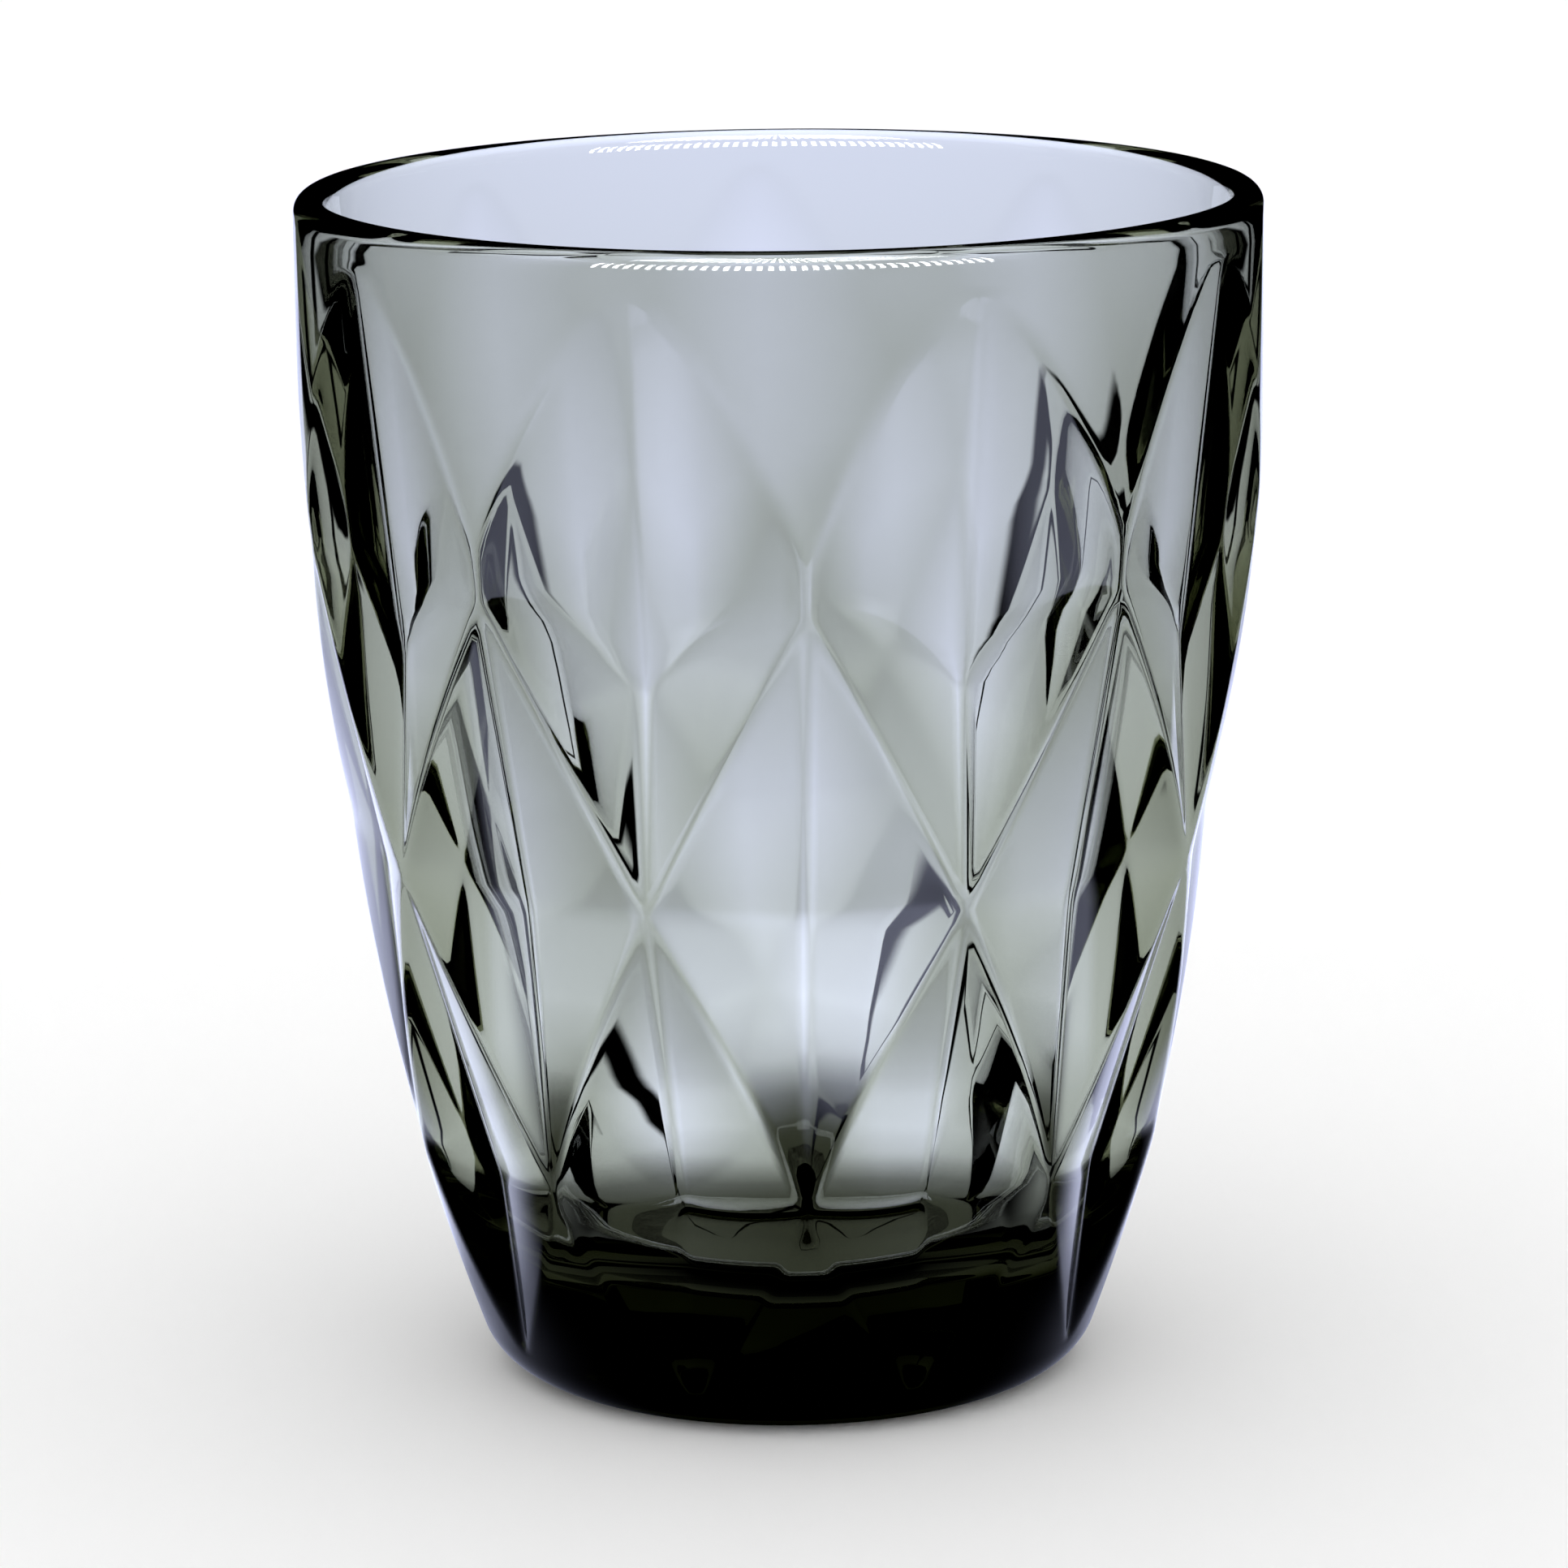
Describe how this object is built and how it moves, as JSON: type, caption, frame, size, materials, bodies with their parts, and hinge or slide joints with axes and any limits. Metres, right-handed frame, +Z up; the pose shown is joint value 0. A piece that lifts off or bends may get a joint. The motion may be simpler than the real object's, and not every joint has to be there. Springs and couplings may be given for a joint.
{
  "type": "whiskey tumbler",
  "caption": "Smoke-tinted pressed-glass tumbler with a rounded lip, hollow diamond facets, a thick base and a drawn-in foot.",
  "frame": {"origin": "centre of the foot, on the surface that the glass stands on", "axes": "+Z up the glass's axis to the mouth; -Y is the front, where a column of ridge crossings faces"},
  "size_m": [0.084, 0.084, 0.105],
  "materials": {
    "smoked_glass": "fire-polished pressed soda-lime glass, smoke grey"
  },
  "bodies": {
    "root": {"tumbler_glass": "smoked_glass"}
  },
  "joints": []
}
